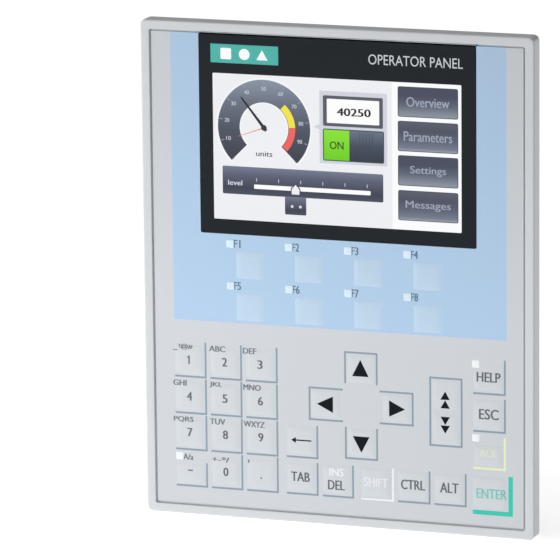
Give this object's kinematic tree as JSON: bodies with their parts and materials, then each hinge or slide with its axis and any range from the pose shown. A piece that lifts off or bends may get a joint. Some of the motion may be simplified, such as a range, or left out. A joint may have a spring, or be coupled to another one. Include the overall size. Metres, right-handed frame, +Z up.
{
  "type": "hmi touch panel",
  "caption": "Flush-mounted operator panel with a small colour touch display above rows of membrane function, number, arrow and control keys, with a deep housing and sockets behind.",
  "frame": {"origin": "middle of the door cut-out, in the plane where the front frame's flange meets the door", "axes": "+X to the right of the front as the operator sees it, +Y into the cabinet, +Z up"},
  "size_m": [0.152, 0.039, 0.188],
  "materials": {
    "frame": "light grey moulded plastic, fine satin grain",
    "foil": "light grey and pale blue polyester foil, fine matt texture",
    "key": "light grey, matt",
    "function_key": "pale blue, matt",
    "window": "black printed border round a clear display area",
    "touch_glass": "clear",
    "lcd_glass": "lit picture, anti-glare",
    "backlight": "white, matt",
    "bracket_steel": "zinc plated sheet",
    "dome_sheet": "clear amber film with metal domes",
    "circuit_board": "green solder resist",
    "light_guide": "clear white",
    "gasket": "black foam rubber",
    "housing": "mid grey moulded plastic",
    "label": "pale grey film",
    "screw_steel": "zinc plated",
    "terminal": "green",
    "shield_steel": "bright tin plated"
  },
  "bodies": {
    "panel": {"front_frame": "frame", "front_foil": "foil", "display_window": "window", "touch_sensor": "touch_glass", "lcd_panel": "lcd_glass", "backlight_unit": "backlight", "lcd_bracket": "bracket_steel", "dome_sheet": "dome_sheet", "keypad_board": "circuit_board", "led_guide_upper": "light_guide", "led_guide_lower": "light_guide", "led_guide_right": "light_guide", "led_guide_left": "light_guide", "panel_gasket": "gasket", "rear_housing": "housing", "rating_plate": "label", "housing_screw_1": "screw_steel", "housing_screw_2": "screw_steel", "housing_screw_3": "screw_steel", "housing_screw_4": "screw_steel", "main_board": "circuit_board", "power_socket": "terminal", "ethernet_socket": "shield_steel", "usb_host_socket": "shield_steel"},
    "key_case": {"key_case": "key"},
    "key_0": {"key_0": "key"},
    "key_point": {"key_point": "key"},
    "key_backspace": {"key_backspace": "key"},
    "key_tab": {"key_tab": "key"},
    "key_insert": {"key_insert": "key"},
    "key_shift": {"key_shift": "key"},
    "key_ctrl": {"key_ctrl": "key"},
    "key_alt": {"key_alt": "key"},
    "key_enter": {"key_enter": "key"},
    "key_help": {"key_help": "key"},
    "key_esc": {"key_esc": "key"},
    "key_ack": {"key_ack": "key"},
    "key_up": {"key_up": "key"},
    "key_left": {"key_left": "key"},
    "key_right": {"key_right": "key"},
    "key_down": {"key_down": "key"},
    "key_page_up": {"key_page_up": "key"},
    "key_page_down": {"key_page_down": "key"},
    "key_1": {"key_1": "key"},
    "key_2": {"key_2": "key"},
    "key_3": {"key_3": "key"},
    "key_4": {"key_4": "key"},
    "key_5": {"key_5": "key"},
    "key_6": {"key_6": "key"},
    "key_7": {"key_7": "key"},
    "key_8": {"key_8": "key"},
    "key_9": {"key_9": "key"},
    "key_f1": {"key_f1": "function_key"},
    "key_f2": {"key_f2": "function_key"},
    "key_f3": {"key_f3": "function_key"},
    "key_f4": {"key_f4": "function_key"},
    "key_f5": {"key_f5": "function_key"},
    "key_f6": {"key_f6": "function_key"},
    "key_f7": {"key_f7": "function_key"},
    "key_f8": {"key_f8": "function_key"}
  },
  "joints": [
    {"name": "press_key_case", "type": "slide", "parent": "panel", "child": "key_case", "axis": [0, 1, 0], "range_m": [0, 0.0005], "stiffness_N_per_m": 4000},
    {"name": "press_key_0", "type": "slide", "parent": "panel", "child": "key_0", "axis": [0, 1, 0], "range_m": [0, 0.0005], "stiffness_N_per_m": 4000},
    {"name": "press_key_point", "type": "slide", "parent": "panel", "child": "key_point", "axis": [0, 1, 0], "range_m": [0, 0.0005], "stiffness_N_per_m": 4000},
    {"name": "press_key_backspace", "type": "slide", "parent": "panel", "child": "key_backspace", "axis": [0, 1, 0], "range_m": [0, 0.0005], "stiffness_N_per_m": 4000},
    {"name": "press_key_tab", "type": "slide", "parent": "panel", "child": "key_tab", "axis": [0, 1, 0], "range_m": [0, 0.0005], "stiffness_N_per_m": 4000},
    {"name": "press_key_insert", "type": "slide", "parent": "panel", "child": "key_insert", "axis": [0, 1, 0], "range_m": [0, 0.0005], "stiffness_N_per_m": 4000},
    {"name": "press_key_shift", "type": "slide", "parent": "panel", "child": "key_shift", "axis": [0, 1, 0], "range_m": [0, 0.0005], "stiffness_N_per_m": 4000},
    {"name": "press_key_ctrl", "type": "slide", "parent": "panel", "child": "key_ctrl", "axis": [0, 1, 0], "range_m": [0, 0.0005], "stiffness_N_per_m": 4000},
    {"name": "press_key_alt", "type": "slide", "parent": "panel", "child": "key_alt", "axis": [0, 1, 0], "range_m": [0, 0.0005], "stiffness_N_per_m": 4000},
    {"name": "press_key_enter", "type": "slide", "parent": "panel", "child": "key_enter", "axis": [0, 1, 0], "range_m": [0, 0.0005], "stiffness_N_per_m": 4000},
    {"name": "press_key_help", "type": "slide", "parent": "panel", "child": "key_help", "axis": [0, 1, 0], "range_m": [0, 0.0005], "stiffness_N_per_m": 4000},
    {"name": "press_key_esc", "type": "slide", "parent": "panel", "child": "key_esc", "axis": [0, 1, 0], "range_m": [0, 0.0005], "stiffness_N_per_m": 4000},
    {"name": "press_key_ack", "type": "slide", "parent": "panel", "child": "key_ack", "axis": [0, 1, 0], "range_m": [0, 0.0005], "stiffness_N_per_m": 4000},
    {"name": "press_key_up", "type": "slide", "parent": "panel", "child": "key_up", "axis": [0, 1, 0], "range_m": [0, 0.0005], "stiffness_N_per_m": 4000},
    {"name": "press_key_left", "type": "slide", "parent": "panel", "child": "key_left", "axis": [0, 1, 0], "range_m": [0, 0.0005], "stiffness_N_per_m": 4000},
    {"name": "press_key_right", "type": "slide", "parent": "panel", "child": "key_right", "axis": [0, 1, 0], "range_m": [0, 0.0005], "stiffness_N_per_m": 4000},
    {"name": "press_key_down", "type": "slide", "parent": "panel", "child": "key_down", "axis": [0, 1, 0], "range_m": [0, 0.0005], "stiffness_N_per_m": 4000},
    {"name": "press_key_page_up", "type": "slide", "parent": "panel", "child": "key_page_up", "axis": [0, 1, 0], "range_m": [0, 0.0005], "stiffness_N_per_m": 4000},
    {"name": "press_key_page_down", "type": "slide", "parent": "panel", "child": "key_page_down", "axis": [0, 1, 0], "range_m": [0, 0.0005], "stiffness_N_per_m": 4000},
    {"name": "press_key_1", "type": "slide", "parent": "panel", "child": "key_1", "axis": [0, 1, 0], "range_m": [0, 0.0005], "stiffness_N_per_m": 4000},
    {"name": "press_key_2", "type": "slide", "parent": "panel", "child": "key_2", "axis": [0, 1, 0], "range_m": [0, 0.0005], "stiffness_N_per_m": 4000},
    {"name": "press_key_3", "type": "slide", "parent": "panel", "child": "key_3", "axis": [0, 1, 0], "range_m": [0, 0.0005], "stiffness_N_per_m": 4000},
    {"name": "press_key_4", "type": "slide", "parent": "panel", "child": "key_4", "axis": [0, 1, 0], "range_m": [0, 0.0005], "stiffness_N_per_m": 4000},
    {"name": "press_key_5", "type": "slide", "parent": "panel", "child": "key_5", "axis": [0, 1, 0], "range_m": [0, 0.0005], "stiffness_N_per_m": 4000},
    {"name": "press_key_6", "type": "slide", "parent": "panel", "child": "key_6", "axis": [0, 1, 0], "range_m": [0, 0.0005], "stiffness_N_per_m": 4000},
    {"name": "press_key_7", "type": "slide", "parent": "panel", "child": "key_7", "axis": [0, 1, 0], "range_m": [0, 0.0005], "stiffness_N_per_m": 4000},
    {"name": "press_key_8", "type": "slide", "parent": "panel", "child": "key_8", "axis": [0, 1, 0], "range_m": [0, 0.0005], "stiffness_N_per_m": 4000},
    {"name": "press_key_9", "type": "slide", "parent": "panel", "child": "key_9", "axis": [0, 1, 0], "range_m": [0, 0.0005], "stiffness_N_per_m": 4000},
    {"name": "press_key_f1", "type": "slide", "parent": "panel", "child": "key_f1", "axis": [0, 1, 0], "range_m": [0, 0.0005], "stiffness_N_per_m": 4000},
    {"name": "press_key_f2", "type": "slide", "parent": "panel", "child": "key_f2", "axis": [0, 1, 0], "range_m": [0, 0.0005], "stiffness_N_per_m": 4000},
    {"name": "press_key_f3", "type": "slide", "parent": "panel", "child": "key_f3", "axis": [0, 1, 0], "range_m": [0, 0.0005], "stiffness_N_per_m": 4000},
    {"name": "press_key_f4", "type": "slide", "parent": "panel", "child": "key_f4", "axis": [0, 1, 0], "range_m": [0, 0.0005], "stiffness_N_per_m": 4000},
    {"name": "press_key_f5", "type": "slide", "parent": "panel", "child": "key_f5", "axis": [0, 1, 0], "range_m": [0, 0.0005], "stiffness_N_per_m": 4000},
    {"name": "press_key_f6", "type": "slide", "parent": "panel", "child": "key_f6", "axis": [0, 1, 0], "range_m": [0, 0.0005], "stiffness_N_per_m": 4000},
    {"name": "press_key_f7", "type": "slide", "parent": "panel", "child": "key_f7", "axis": [0, 1, 0], "range_m": [0, 0.0005], "stiffness_N_per_m": 4000},
    {"name": "press_key_f8", "type": "slide", "parent": "panel", "child": "key_f8", "axis": [0, 1, 0], "range_m": [0, 0.0005], "stiffness_N_per_m": 4000}
  ]
}
